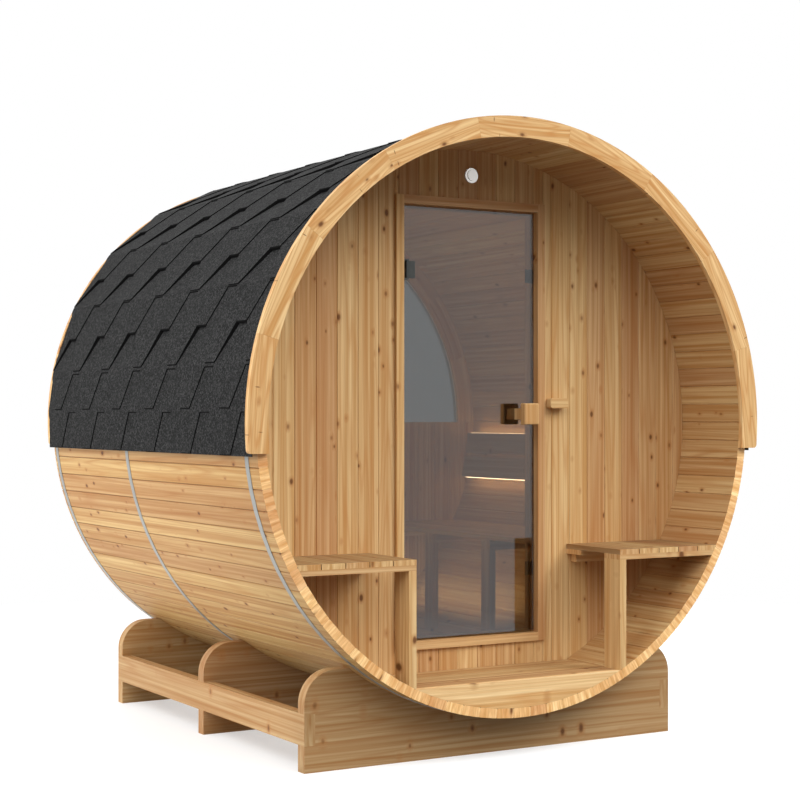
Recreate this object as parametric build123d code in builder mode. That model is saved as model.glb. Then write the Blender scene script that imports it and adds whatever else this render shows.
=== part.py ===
"""Barrel sauna with an open porch: a ring of bevelled staves held by steel hoops, on cradles.

The barrel axis runs along Y, the porch faces -Y and the ground is at Z = 0.
Heights named z_... are measured from the barrel axis.
"""

import os
from math import asin, cos, degrees, radians, sin, sqrt, tan

from build123d import *

# Barrel
stave_count = 90
stave_length = 1880
barrel_radius = 1000
stave_thickness = 33
stave_bevel = 2.5
stave_gap = 0.4
barrel_lift = 140
seat_clearance = 0.3
roof_stave_share = 0.30
side_stave_share = 0.22

# Hoops, measured from the ends of the staves
hoop_width = 26
hoop_thickness = 1.5
front_hoop_inset = 78
middle_hoop_inset = 1093
rear_hoop_inset = 34

# Fascia arches over the stave ends
arch_thickness = 20
front_arch_width = 71
rear_arch_width = 49
arch_drop = 94
arch_board_count = 9
arch_board_gap = 0.4
arch_corner_radius = 12

# Shingle roof: low courses at the eaves, then flat strips of two courses each, then a ridge strip
eaves_angle = 5.8
eaves_course_angle = 8.45
eaves_course_count = 2
strip_angle = 15.4
strip_count = 5
ridge_angle = 5.5
shingle_base = 17
shingle_butt = 6

# Floor and toe board
floor_height = 95
floor_thickness = 28
toe_board_thickness = 20

# Porch and cabin walls
porch_depth = 320
wall_thickness = 40
rear_wall_inset = 40

# Door frame, glass and stop
door_width = 565
door_head_drop = 174
door_sill_height = 80
frame_width = 30
frame_depth = 70
frame_proud = 12
glass_recess = 20
glass_thickness = 8
glass_gap = 7
stop_width = 12
stop_gap = 9

# Door hinges and catches
hinge_inset = 229
pivot_inset = 18
pivot_lead = 10
pin_radius = 3
pin_clearance = 0.05
knuckle_radius = 7
knuckle_end_gap = 0.5
leaf_height = 60
leaf_reach = 34
leaf_thickness = 6
clamp_thickness = 4
clamp_inset = 6
ear_thickness = 5
bracket_thickness = 3
catch_width = 35
catch_height = 50
catch_thickness = 2.5
catch_inset = 231

# Door handles
handle_width = 63
handle_height = 76
handle_thickness = 30
handle_chamfer = 3
handle_neck_width = 45
handle_neck_height = 40
handle_reach = 50
handle_inset = 60
handle_rise = 30

# Peg beside the door
peg_length = 77
peg_height = 37
peg_reach = 32
peg_end_radius = 9
peg_inset = 14
peg_rise = 70

# Air vent over the door
vent_radius = 27
vent_thickness = 6
vent_dome_radius = 19
vent_dome_rise = 5
vent_drop = 89

# Rear window
window_rim_width = 82
window_sill_drop = 5
window_glass_thickness = 8
window_rim_board_count = 10

# Benches
aisle_width = 836
bench_height = 425
slat_count = 5
slat_gap = 3
slat_thickness = 18
batten_width = 90
batten_thickness = 18
leg_thickness = 28
leg_depth = 90
ledger_height = 30
ledger_depth = 30
ledger_set_back = 22
bearer_width = 60
bearer_thickness = 40
post_shares = (0.03, 0.345, 0.655, 0.97)
cabin_bench_end_gap = 2

# Backrests and their light strips
backrest_angle = 6.3
backrest_pitch_angle = 6.8
backrest_height = 90
backrest_thickness = 20
backrest_stand_off = 50
backrest_end_gap = 60
backrest_bracket_width = 40
backrest_bracket_height = 50
backrest_bracket_shares = (0.12, 0.5, 0.88)
light_depth = 12
light_height = 10
light_edge_gap = 3

# Cradles and the rails let into their ends
cradle_width = 1510
cradle_height = 331
cradle_thickness = 45
cradle_front_inset = 170
cradle_rear_inset = 110
cradle_corner_radius = 110
rail_thickness = 40
rail_height = 104
rail_lift = 88

# Sizes that follow from the ones above
stave_angle = 360 / stave_count
half_stave = radians(stave_angle / 2)
axis_height = barrel_lift + barrel_radius
inner_radius = barrel_radius - stave_thickness
liner_radius = inner_radius - seat_clearance
front_y = -stave_length / 2
rear_y = stave_length / 2
z_floor = floor_height - inner_radius
z_frame_bottom = z_floor + door_sill_height
z_frame_top = inner_radius - door_head_drop
z_opening_bottom = z_frame_bottom + frame_width
z_opening_top = z_frame_top - frame_width
z_door_middle = (z_opening_bottom + z_opening_top) / 2
half_opening = door_width / 2
half_frame = half_opening + frame_width
wall_front_y = front_y + porch_depth
wall_back_y = wall_front_y + wall_thickness
frame_front_y = wall_front_y - frame_proud
frame_back_y = frame_front_y + frame_depth
glass_front_y = frame_front_y + glass_recess
glass_back_y = glass_front_y + glass_thickness
stop_front_y = glass_back_y + stop_gap
rear_wall_back_y = rear_y - rear_wall_inset
rear_wall_front_y = rear_wall_back_y - wall_thickness
cabin_length = rear_wall_front_y - wall_back_y
half_glass = half_opening - glass_gap
z_seat = z_floor + bench_height
half_aisle = aisle_width / 2


def across(y):
    """Plane across the barrel at depth y, with its origin on the axis and its local y upwards."""
    return Plane(origin=(0, y, axis_height), x_dir=(1, 0, 0), z_dir=(0, -1, 0))


def level(z):
    """Horizontal plane at height z from the barrel axis."""
    return Plane.XY.offset(axis_height + z)


def half_chord(z):
    """Half of the inside width of the barrel at height z from the axis."""
    return sqrt(inner_radius**2 - z**2)


def trim_to_barrel():
    """Cut the current sketch to the inside of the ring of staves."""
    RegularPolygon(liner_radius, stave_count, major_radius=False, mode=Mode.INTERSECT)


def rectangle(x_low, x_high, z_low, z_high, mode=Mode.ADD):
    """Rectangle between two corners in the current sketch."""
    with Locations(((x_low + x_high) / 2, (z_low + z_high) / 2)):
        Rectangle(x_high - x_low, z_high - z_low, mode=mode)


def ring_board(inner, outer, start_angle, stop_angle, gap):
    """Edges of one board of a ring in the current line, short of its two joints by half the gap."""
    trim_angle = degrees(gap / (inner + outer))
    start_angle += trim_angle
    sweep_angle = stop_angle - trim_angle - start_angle
    outer_arc = CenterArc((0, 0), outer, start_angle, sweep_angle)
    inner_arc = CenterArc((0, 0), inner, start_angle, sweep_angle)
    Line(outer_arc @ 0, inner_arc @ 0)
    Line(outer_arc @ 1, inner_arc @ 1)


os.makedirs("parts", exist_ok=True)

# Staves

stave_edge_in = inner_radius * tan(half_stave) - stave_gap / 2
stave_edge_out = barrel_radius * tan(half_stave) - stave_gap / 2
bevel_edge_in = (inner_radius + stave_bevel) * tan(half_stave) - stave_gap / 2
bevel_edge_out = (barrel_radius - stave_bevel) * tan(half_stave) - stave_gap / 2
stave_outline = [
    (inner_radius, -stave_edge_in + stave_bevel),
    (inner_radius + stave_bevel, -bevel_edge_in),
    (barrel_radius - stave_bevel, -bevel_edge_out),
    (barrel_radius, -stave_edge_out + stave_bevel),
    (barrel_radius, stave_edge_out - stave_bevel),
    (barrel_radius - stave_bevel, bevel_edge_out),
    (inner_radius + stave_bevel, bevel_edge_in),
    (inner_radius, stave_edge_in - stave_bevel),
]
roof_stave_count = round(stave_count * roof_stave_share)
side_stave_count = round(stave_count * side_stave_share)
bottom_stave_count = stave_count - roof_stave_count - 2 * side_stave_count
stave_groups = [
    ("roof_staves", roof_stave_count),
    ("left_staves", side_stave_count),
    ("bottom_staves", bottom_stave_count),
    ("right_staves", side_stave_count),
]
first_stave = round((90 - roof_stave_count * stave_angle / 2) / stave_angle)

for group_name, group_count in stave_groups:
    with BuildPart() as staves:
        with BuildSketch(across(front_y)):
            with PolarLocations(
                0,
                group_count,
                start_angle=(first_stave + 1 / 2) * stave_angle,
                angular_range=(group_count - 1) * stave_angle,
                endpoint=True,
            ):
                Polygon(*stave_outline, align=None)
        extrude(amount=-stave_length)
    staves.part.label = group_name
    export_step(staves.part, f"parts/{group_name}.step")
    first_stave += group_count

# Hoops

hoop_inner = barrel_radius + seat_clearance
hoop_outer = hoop_inner + hoop_thickness
hoop_places = [
    ("front_hoop", front_y + front_hoop_inset),
    ("middle_hoop", front_y + middle_hoop_inset),
    ("rear_hoop", rear_y - rear_hoop_inset),
]

for hoop_name, hoop_y in hoop_places:
    with BuildPart() as hoop:
        with BuildSketch(across(hoop_y - hoop_width / 2)):
            RegularPolygon(hoop_outer, stave_count, major_radius=False)
            RegularPolygon(hoop_inner, stave_count, major_radius=False, mode=Mode.SUBTRACT)
        extrude(amount=-hoop_width)
    hoop.part.label = hoop_name
    export_step(hoop.part, f"parts/{hoop_name}.step")

# Shingle roof, stepped strip by strip up both sides to a ridge strip

shingle_inner = hoop_outer / cos(half_stave) + seat_clearance
course_top = shingle_inner + shingle_base
course_bottom = course_top + shingle_butt
first_strip_angle = eaves_course_count * eaves_course_angle - eaves_angle
course_starts = [course * eaves_course_angle - eaves_angle for course in range(eaves_course_count)]
course_starts += [first_strip_angle + strip * strip_angle for strip in range(strip_count)]
course_starts.append(90 - ridge_angle)


def on_ring(radius, angle):
    """Point at a radius and an angle above the horizontal."""
    return (radius * cos(radians(angle)), radius * sin(radians(angle)))


roof_side = [on_ring(shingle_inner, -eaves_angle)]
for course_start, course_stop in zip(course_starts, course_starts[1:]):
    roof_side.append(on_ring(course_bottom, course_start))
    roof_side.append(on_ring(course_top, course_stop))
roof_side.append(on_ring(course_bottom, 90 - ridge_angle))
roof_other_side = [(-x, z) for x, z in reversed(roof_side)]

with BuildPart() as roof_shingles:
    with BuildSketch(across(front_y)):
        with BuildLine():
            Polyline(*roof_side, *roof_other_side)
            CenterArc((0, 0), shingle_inner, -eaves_angle, 180 + 2 * eaves_angle)
        make_face()
    extrude(amount=-stave_length)
roof_shingles.part.label = "roof_shingles"
export_step(roof_shingles.part, "parts/roof_shingles.step")

# Fascia arches, each of equal boards, with level ends

arch_end_angle = degrees(asin(arch_drop / inner_radius))
arch_board_angle = (180 + 2 * arch_end_angle) / arch_board_count
arch_places = [
    ("front_arch", front_y - arch_thickness, front_arch_width),
    ("rear_arch", rear_y, rear_arch_width),
]

for arch_name, arch_y, arch_width in arch_places:
    arch_outer = inner_radius + arch_width
    with BuildPart() as arch:
        with BuildSketch(across(arch_y)) as arch_face:
            for board in range(arch_board_count):
                board_start = board * arch_board_angle - arch_end_angle
                board_stop = board_start + arch_board_angle
                with BuildLine():
                    ring_board(inner_radius, arch_outer, board_start, board_stop, arch_board_gap)
                make_face()
            rectangle(-arch_outer, arch_outer, -arch_outer, -arch_drop, mode=Mode.SUBTRACT)
            end_corners = arch_face.vertices().sort_by(Axis.X)
            fillet([end_corners[0], end_corners[-1]], radius=arch_corner_radius)
        extrude(amount=-arch_thickness)
    arch.part.label = arch_name
    export_step(arch.part, f"parts/{arch_name}.step")

# Porch floor, toe board and cabin floor

with BuildPart() as porch_toe_board:
    with BuildSketch(across(front_y)):
        rectangle(-inner_radius, inner_radius, -inner_radius, z_floor)
        trim_to_barrel()
    extrude(amount=-toe_board_thickness)
porch_toe_board.part.label = "porch_toe_board"
export_step(porch_toe_board.part, "parts/porch_toe_board.step")

with BuildPart() as porch_floor:
    with BuildSketch(across(front_y + toe_board_thickness)):
        rectangle(-inner_radius, inner_radius, z_floor - floor_thickness, z_floor)
        trim_to_barrel()
    extrude(amount=-(porch_depth - toe_board_thickness))
porch_floor.part.label = "porch_floor"
export_step(porch_floor.part, "parts/porch_floor.step")

with BuildPart() as cabin_floor:
    with BuildSketch(across(wall_back_y)):
        rectangle(-inner_radius, inner_radius, z_floor - floor_thickness, z_floor)
        trim_to_barrel()
    extrude(amount=-cabin_length)
cabin_floor.part.label = "cabin_floor"
export_step(cabin_floor.part, "parts/cabin_floor.step")

# Front wall, split beside, over and under the doorway

wall_cut = half_frame + seat_clearance
wall_panels = [
    ("front_wall_left", -inner_radius, -wall_cut, -inner_radius, inner_radius),
    ("front_wall_right", wall_cut, inner_radius, -inner_radius, inner_radius),
    ("front_wall_head", -half_frame, half_frame, z_frame_top, inner_radius),
    ("front_wall_sill", -half_frame, half_frame, -inner_radius, z_frame_bottom),
]

for panel_name, x_low, x_high, z_low, z_high in wall_panels:
    with BuildPart() as panel:
        with BuildSketch(across(wall_front_y)):
            rectangle(x_low, x_high, z_low, z_high)
            trim_to_barrel()
        extrude(amount=-wall_thickness)
    panel.part.label = panel_name
    export_step(panel.part, f"parts/{panel_name}.step")

# Door frame with a stop behind the glass

stop_depth = frame_back_y - stop_front_y

for jamb_name, side in [("door_frame_left", -1), ("door_frame_right", 1)]:
    jamb_edges = sorted((side * half_opening, side * half_frame))
    stop_edges = sorted((side * half_opening, side * (half_opening - stop_width)))
    with BuildPart() as jamb:
        with BuildSketch(across(frame_front_y)):
            rectangle(*jamb_edges, z_frame_bottom, z_frame_top)
        extrude(amount=-frame_depth)
        with BuildSketch(across(stop_front_y)):
            rectangle(*stop_edges, z_opening_bottom, z_opening_top)
        extrude(amount=-stop_depth)
    jamb.part.label = jamb_name
    export_step(jamb.part, f"parts/{jamb_name}.step")

half_stop = half_opening - stop_width
rail_stops = [
    ("door_frame_head", z_opening_top, z_frame_top, z_opening_top - stop_width, z_opening_top),
    ("door_frame_sill", z_frame_bottom, z_opening_bottom, z_opening_bottom, z_opening_bottom + stop_width),
]

for rail_name, z_low, z_high, z_stop_low, z_stop_high in rail_stops:
    with BuildPart() as frame_rail:
        with BuildSketch(across(frame_front_y)):
            rectangle(-half_opening, half_opening, z_low, z_high)
        extrude(amount=-frame_depth)
        with BuildSketch(across(stop_front_y)):
            rectangle(-half_stop, half_stop, z_stop_low, z_stop_high)
        extrude(amount=-stop_depth)
    frame_rail.part.label = rail_name
    export_step(frame_rail.part, f"parts/{rail_name}.step")

# Glass door leaf

with BuildPart() as door_glass:
    with BuildSketch(across(glass_front_y)):
        rectangle(-half_glass, half_glass, z_opening_bottom + glass_gap, z_opening_top - glass_gap)
    extrude(amount=-glass_thickness)
door_glass.part.label = "door_glass"
export_step(door_glass.part, "parts/door_glass.step")

# Hinges: a knuckle and clamp plates on the glass turn on pins held by brackets on the jamb

pivot_x = pivot_inset - half_opening
pivot_y = glass_front_y - pivot_lead
hinge_heights = [z_opening_bottom + hinge_inset, z_opening_top - hinge_inset]

with BuildPart() as hinge_leaves:
    for z_hinge in hinge_heights:
        with BuildSketch(level(z_hinge - leaf_height / 2)):
            with Locations((pivot_x, pivot_y)):
                Circle(knuckle_radius)
            rectangle(pivot_x, pivot_x + leaf_reach, glass_front_y - leaf_thickness, glass_front_y)
            with Locations((pivot_x, pivot_y)):
                Circle(pin_radius + pin_clearance, mode=Mode.SUBTRACT)
            rectangle(
                pivot_x + clamp_inset,
                pivot_x + leaf_reach,
                glass_back_y,
                glass_back_y + clamp_thickness,
            )
        extrude(amount=leaf_height)
hinge_leaves.part.label = "hinge_leaves"
export_step(hinge_leaves.part, "parts/hinge_leaves.step")

ear_offset = leaf_height / 2 + knuckle_end_gap
bracket_height = 2 * (ear_offset + ear_thickness)

with BuildPart() as hinge_brackets:
    for z_hinge in hinge_heights:
        bracket_plane = level(z_hinge - bracket_height / 2)
        with BuildSketch(bracket_plane):
            rectangle(
                -half_opening,
                bracket_thickness - half_opening,
                pivot_y - knuckle_radius,
                pivot_y + knuckle_radius,
            )
            with Locations((pivot_x, pivot_y)):
                Circle(pin_radius)
        extrude(amount=bracket_height)
        for ear_bottom in (0, bracket_height - ear_thickness):
            with BuildSketch(bracket_plane.offset(ear_bottom)):
                rectangle(-half_opening, pivot_x, pivot_y - knuckle_radius, pivot_y + knuckle_radius)
                with Locations((pivot_x, pivot_y)):
                    Circle(knuckle_radius)
            extrude(amount=ear_thickness)
hinge_brackets.part.label = "hinge_brackets"
export_step(hinge_brackets.part, "parts/hinge_brackets.step")

# Catch plates on the stop of the other jamb

with BuildPart() as catch_plates:
    with BuildSketch(across(stop_front_y - catch_thickness)):
        for z_catch in (z_opening_bottom + catch_inset, z_opening_top - catch_inset):
            rectangle(
                half_opening - catch_width,
                half_opening,
                z_catch - catch_height / 2,
                z_catch + catch_height / 2,
            )
    extrude(amount=-catch_thickness)
catch_plates.part.label = "catch_plates"
export_step(catch_plates.part, "parts/catch_plates.step")

# Wooden handles, a block on a neck on each face of the glass

handle_x = half_glass - handle_inset
z_handle = z_door_middle + handle_rise
handle_faces = [
    ("door_handle_outside", glass_front_y, -1),
    ("door_handle_inside", glass_back_y, 1),
]

for handle_name, face_y, outward in handle_faces:
    block_y = face_y + outward * handle_reach
    with BuildPart() as handle:
        with BuildSketch(across(block_y)):
            with Locations((handle_x, z_handle)):
                Rectangle(handle_width, handle_height)
        extrude(amount=-outward * handle_thickness)
        chamfer(handle.edges(), length=handle_chamfer)
        with BuildSketch(across(face_y)):
            with Locations((handle_x, z_handle)):
                Rectangle(handle_neck_width, handle_neck_height)
        extrude(amount=-outward * (handle_reach + handle_chamfer))
    handle.part.label = handle_name
    export_step(handle.part, f"parts/{handle_name}.step")

# Peg beside the door frame

peg_x = half_frame + peg_inset + peg_length / 2

with BuildPart() as wall_peg:
    with BuildSketch(across(wall_front_y)):
        with Locations((peg_x, peg_rise)):
            RectangleRounded(peg_length, peg_height, peg_end_radius)
    extrude(amount=peg_reach)
wall_peg.part.label = "wall_peg"
export_step(wall_peg.part, "parts/wall_peg.step")

# Air vent over the door

z_vent = inner_radius - vent_drop

with BuildPart() as vent_cap:
    with BuildSketch(across(wall_front_y)):
        with Locations((0, z_vent)):
            Circle(vent_radius)
    extrude(amount=vent_thickness)
    with BuildSketch(across(wall_front_y - vent_thickness)):
        with Locations((0, z_vent)):
            Circle(vent_dome_radius)
    extrude(amount=vent_dome_rise)
vent_cap.part.label = "vent_cap"
export_step(vent_cap.part, "parts/vent_cap.step")

# Rear wall with a half-moon window

window_radius = inner_radius - window_rim_width

with BuildPart() as rear_wall:
    with BuildSketch(across(rear_wall_front_y)):
        rectangle(-inner_radius, inner_radius, -inner_radius, -window_sill_drop)
        trim_to_barrel()
    extrude(amount=-wall_thickness)
rear_wall.part.label = "rear_wall"
export_step(rear_wall.part, "parts/rear_wall.step")

rim_end_angle = degrees(asin(window_sill_drop / inner_radius))
rim_board_angle = (180 + 2 * rim_end_angle) / window_rim_board_count

with BuildPart() as rear_window_rim:
    with BuildSketch(across(rear_wall_front_y)):
        for board in range(window_rim_board_count):
            board_start = board * rim_board_angle - rim_end_angle
            board_stop = board_start + rim_board_angle
            with BuildLine():
                ring_board(window_radius, liner_radius, board_start, board_stop, arch_board_gap)
            make_face()
        rectangle(-inner_radius, inner_radius, -inner_radius, -window_sill_drop, mode=Mode.SUBTRACT)
    extrude(amount=-wall_thickness)
rear_window_rim.part.label = "rear_window_rim"
export_step(rear_window_rim.part, "parts/rear_window_rim.step")

with BuildPart() as rear_window_glass:
    with BuildSketch(across((rear_wall_front_y + rear_wall_back_y - window_glass_thickness) / 2)):
        Circle(window_radius - seat_clearance)
        rectangle(-inner_radius, inner_radius, -inner_radius, -window_sill_drop, mode=Mode.SUBTRACT)
    extrude(amount=-window_glass_thickness)
rear_window_glass.part.label = "rear_window_glass"
export_step(rear_window_glass.part, "parts/rear_window_glass.step")

# Porch benches: slats on two battens, carried by a front leg, a wall ledger and the staves

slat_pitch = (half_chord(z_seat) - half_aisle + slat_gap) / slat_count
z_batten_top = z_seat - slat_thickness
z_batten = z_batten_top - batten_thickness


def bench_slats():
    """Seat slats of the right-hand bench in the current sketch."""
    for slat in range(slat_count):
        slat_edge = half_aisle + slat * slat_pitch
        rectangle(slat_edge, slat_edge + slat_pitch - slat_gap, z_batten_top, z_seat)
    trim_to_barrel()


with BuildPart() as porch_bench_slats:
    with BuildSketch(across(front_y)):
        bench_slats()
    extrude(amount=-porch_depth)
    mirror(about=Plane.YZ)
porch_bench_slats.part.label = "porch_bench_slats"
export_step(porch_bench_slats.part, "parts/porch_bench_slats.step")

with BuildPart() as porch_bench_battens:
    for batten_y in (front_y, wall_front_y - batten_width):
        with BuildSketch(across(batten_y)):
            rectangle(half_aisle, inner_radius, z_batten, z_batten_top)
            trim_to_barrel()
        extrude(amount=-batten_width)
    mirror(about=Plane.YZ)
porch_bench_battens.part.label = "porch_bench_battens"
export_step(porch_bench_battens.part, "parts/porch_bench_battens.step")

with BuildPart() as porch_bench_legs:
    with BuildSketch(across(front_y)):
        rectangle(half_aisle, half_aisle + leg_thickness, z_floor, z_batten)
        trim_to_barrel()
    extrude(amount=-leg_depth)
    mirror(about=Plane.YZ)
porch_bench_legs.part.label = "porch_bench_legs"
export_step(porch_bench_legs.part, "parts/porch_bench_legs.step")

with BuildPart() as porch_bench_ledgers:
    with BuildSketch(across(wall_front_y - ledger_depth)):
        rectangle(half_aisle + ledger_set_back, inner_radius, z_batten - ledger_height, z_batten)
        trim_to_barrel()
    extrude(amount=-ledger_depth)
    mirror(about=Plane.YZ)
porch_bench_ledgers.part.label = "porch_bench_ledgers"
export_step(porch_bench_ledgers.part, "parts/porch_bench_ledgers.step")

# Cabin benches: slats on cross bearers, each with a post at the aisle

z_bearer = z_batten_top - bearer_thickness
bearer_places = [wall_back_y + share * (cabin_length - bearer_width) for share in post_shares]

with BuildPart() as cabin_bench_slats:
    with BuildSketch(across(wall_back_y + cabin_bench_end_gap)):
        bench_slats()
    extrude(amount=-(cabin_length - 2 * cabin_bench_end_gap))
    mirror(about=Plane.YZ)
cabin_bench_slats.part.label = "cabin_bench_slats"
export_step(cabin_bench_slats.part, "parts/cabin_bench_slats.step")

with BuildPart() as cabin_bench_bearers:
    for bearer_y in bearer_places:
        with BuildSketch(across(bearer_y)):
            rectangle(half_aisle, inner_radius, z_bearer, z_batten_top)
            trim_to_barrel()
        extrude(amount=-bearer_width)
    mirror(about=Plane.YZ)
cabin_bench_bearers.part.label = "cabin_bench_bearers"
export_step(cabin_bench_bearers.part, "parts/cabin_bench_bearers.step")

with BuildPart() as cabin_bench_posts:
    for bearer_y in bearer_places:
        with BuildSketch(across(bearer_y)):
            rectangle(half_aisle, half_aisle + leg_thickness, z_floor, z_bearer)
            trim_to_barrel()
        extrude(amount=-bearer_width)
    mirror(about=Plane.YZ)
cabin_bench_posts.part.label = "cabin_bench_posts"
export_step(cabin_bench_posts.part, "parts/cabin_bench_posts.step")

# Backrests: two boards a side on brackets, with light strips behind the outer edges

board_back = inner_radius - backrest_stand_off
board_middle = board_back - backrest_thickness / 2
board_angles = [-backrest_angle, -backrest_angle - backrest_pitch_angle]
backrest_length = cabin_length - 2 * backrest_end_gap

with BuildPart() as cabin_backrests:
    with BuildSketch(across(wall_back_y + backrest_end_gap)):
        for board_angle in board_angles:
            with PolarLocations(board_middle, 1, start_angle=board_angle):
                Rectangle(backrest_thickness, backrest_height)
    extrude(amount=-backrest_length)
    mirror(about=Plane.YZ)
cabin_backrests.part.label = "cabin_backrests"
export_step(cabin_backrests.part, "parts/cabin_backrests.step")

with BuildPart() as backrest_brackets:
    for share in backrest_bracket_shares:
        with BuildSketch(across(wall_back_y + share * cabin_length - backrest_bracket_width / 2)):
            for board_angle in board_angles:
                with PolarLocations(board_back + backrest_stand_off, 1, start_angle=board_angle):
                    Rectangle(2 * backrest_stand_off, backrest_bracket_height)
            trim_to_barrel()
        extrude(amount=-backrest_bracket_width)
    mirror(about=Plane.YZ)
backrest_brackets.part.label = "backrest_brackets"
export_step(backrest_brackets.part, "parts/backrest_brackets.step")

light_offset = backrest_height / 2 - light_edge_gap - light_height / 2

with BuildPart() as backrest_lights:
    with BuildSketch(across(wall_back_y + backrest_end_gap)):
        for board_angle, light_rise in zip(board_angles, (light_offset, -light_offset)):
            with PolarLocations(0, 1, start_angle=board_angle):
                with Locations((board_back + light_depth / 2, light_rise)):
                    Rectangle(light_depth, light_height)
    extrude(amount=-backrest_length)
    mirror(about=Plane.YZ)
backrest_lights.part.label = "backrest_lights"
export_step(backrest_lights.part, "parts/backrest_lights.step")

# Cradles, hollowed to the barrel and notched at both ends for the rails

half_cradle = cradle_width / 2
rail_face = half_cradle - rail_thickness
z_ground = -axis_height
z_rail = z_ground + rail_lift
cradle_front_y = front_y + cradle_front_inset
cradle_rear_y = rear_y - cradle_rear_inset
cradle_places = [
    ("cradle_front", cradle_front_y),
    ("cradle_middle", (cradle_front_y + cradle_rear_y) / 2),
    ("cradle_rear", cradle_rear_y),
]

for cradle_name, cradle_y in cradle_places:
    with BuildPart() as cradle:
        with BuildSketch(across(cradle_y - cradle_thickness / 2)) as cradle_face:
            rectangle(-half_cradle, half_cradle, z_ground, z_ground + cradle_height)
            fillet(cradle_face.vertices().group_by(Axis.Y)[-1], radius=cradle_corner_radius)
            RegularPolygon(hoop_inner, stave_count, major_radius=False, mode=Mode.SUBTRACT)
            for notch_edges in ((-half_cradle, -rail_face), (rail_face, half_cradle)):
                rectangle(*notch_edges, z_rail, z_rail + rail_height, mode=Mode.SUBTRACT)
        extrude(amount=-cradle_thickness)
    cradle.part.label = cradle_name
    export_step(cradle.part, f"parts/{cradle_name}.step")

with BuildPart() as cradle_rails:
    with BuildSketch(across(cradle_front_y - cradle_thickness / 2)):
        rectangle(rail_face, half_cradle, z_rail, z_rail + rail_height)
    extrude(amount=-(cradle_rear_y - cradle_front_y + cradle_thickness))
    mirror(about=Plane.YZ)
cradle_rails.part.label = "cradle_rails"
export_step(cradle_rails.part, "parts/cradle_rails.step")
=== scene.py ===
"""Looks of the barrel sauna: timber, shingles, glass, light strips, studio and camera."""

import math
import random

import bmesh
import bpy
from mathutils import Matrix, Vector


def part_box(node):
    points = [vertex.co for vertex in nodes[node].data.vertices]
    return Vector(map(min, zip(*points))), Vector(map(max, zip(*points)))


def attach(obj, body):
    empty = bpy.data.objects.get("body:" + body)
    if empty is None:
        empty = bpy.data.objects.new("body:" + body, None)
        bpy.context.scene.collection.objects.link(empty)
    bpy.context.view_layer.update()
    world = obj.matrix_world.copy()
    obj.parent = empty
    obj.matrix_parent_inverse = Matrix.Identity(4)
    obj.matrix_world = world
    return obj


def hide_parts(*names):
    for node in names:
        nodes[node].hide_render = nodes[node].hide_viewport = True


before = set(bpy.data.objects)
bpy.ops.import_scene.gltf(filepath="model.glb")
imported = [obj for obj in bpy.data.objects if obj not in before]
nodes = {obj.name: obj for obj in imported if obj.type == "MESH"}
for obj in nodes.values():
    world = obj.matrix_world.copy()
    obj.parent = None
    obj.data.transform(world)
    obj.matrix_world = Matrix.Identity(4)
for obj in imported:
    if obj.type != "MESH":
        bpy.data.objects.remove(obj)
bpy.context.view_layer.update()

# Places read from the frame, in metres
STAVE_LOW, STAVE_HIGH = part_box("roof_staves")
BOTTOM_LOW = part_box("bottom_staves")[0]
WALL_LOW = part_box("front_wall_left")[0]
HEAD_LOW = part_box("front_wall_head")[0]
SILL_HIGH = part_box("front_wall_sill")[1]
REAR_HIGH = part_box("rear_wall")[1]
CABIN_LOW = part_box("cabin_floor")[0]
SLATS_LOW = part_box("cabin_bench_slats")[0]
ARCH_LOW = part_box("front_arch")[0]
VENT_LOW, VENT_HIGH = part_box("vent_cap")
LIGHT_LOW, LIGHT_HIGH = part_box("backrest_lights")
FRONT_Y = STAVE_LOW[1]
REAR_Y = STAVE_HIGH[1]
AXIS_Z = (STAVE_HIGH[2] + BOTTOM_LOW[2]) / 2
BARREL_R = STAVE_HIGH[2] - AXIS_Z
LINER_R = -WALL_LOW[0]

# Boards of the arches, in radians
ARCH_BOARDS = 9
ARCH_END = math.asin((AXIS_Z - ARCH_LOW[2]) / LINER_R)
ARCH_BOARD = (math.pi + 2 * ARCH_END) / ARCH_BOARDS

# Boards of the walls and floors
WALL_BOARD = 0.081
WALL_BOARD_START = 0.027
PLANK = 0.099
BOARD_CHAMFER = 0.002
BOARD_GAP = 0.0006
BOARD_STEPS = 5
NARROWEST_BOARD = 0.012

# Factor that sets the random numbers of boards apart, and lengths that count as none
BOARD_SCATTER = 997.0
WELD = 1e-5
TINY = 1e-6

# Shingle strips: angles up from the horizontal, in degrees
EAVES_STRIPS = ((-5.8, 2.65), (2.65, 11.1))
DOUBLE_STRIPS = ((11.1, 26.5), (26.5, 41.9), (41.9, 57.3), (57.3, 72.7), (72.7, 84.5))
COURSE_ANGLE = 7.7
STRIP_END = DOUBLE_STRIPS[-1][1]
RIDGE_ANGLE = 83.3
STRIP_TOP_R = BARREL_R + 0.0197

# Shingle tabs
TAB_PITCH = 0.315
TAB_FOOT = 0.075
NOTCH_TOP = 0.075
EVEN_NOTCH = 0.034
ODD_NOTCH = 0.189
SHEET = 0.0028
SKIN_CLEAR = 0.0002
LAYER = SHEET + SKIN_CLEAR
NOTCH_FLOOR_DROP = 0.0072
NOTCH_SKIN = 0.0012
TAB_BEVEL = 0.004
NOTCH_WIDENING = 0.008
RIDGE_R = STRIP_TOP_R + 2 * LAYER
RIDGE_CAPS = 12
RIDGE_LAP = 0.045
RIDGE_STEP = 0.003
RIDGE_BED_DROP = 2 * LAYER
RIDGE_BED = 3.5 * LAYER

# Camera
LENS = 77.766
SENSOR = 36.0
CAMERA_PLACE = (-3.338, -5.7883, 1.1655)
CAMERA_YAW = math.radians(30.51)
SHIFT_UP = 0.0192


def linear(red, green, blue):
    """Display colour, 0 to 255, as the linear colour that a shader takes."""
    def channel(value):
        value /= 255
        return value / 12.92 if value <= 0.04045 else ((value + 0.055) / 1.055) ** 2.4
    return (channel(red), channel(green), channel(blue), 1.0)


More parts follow.
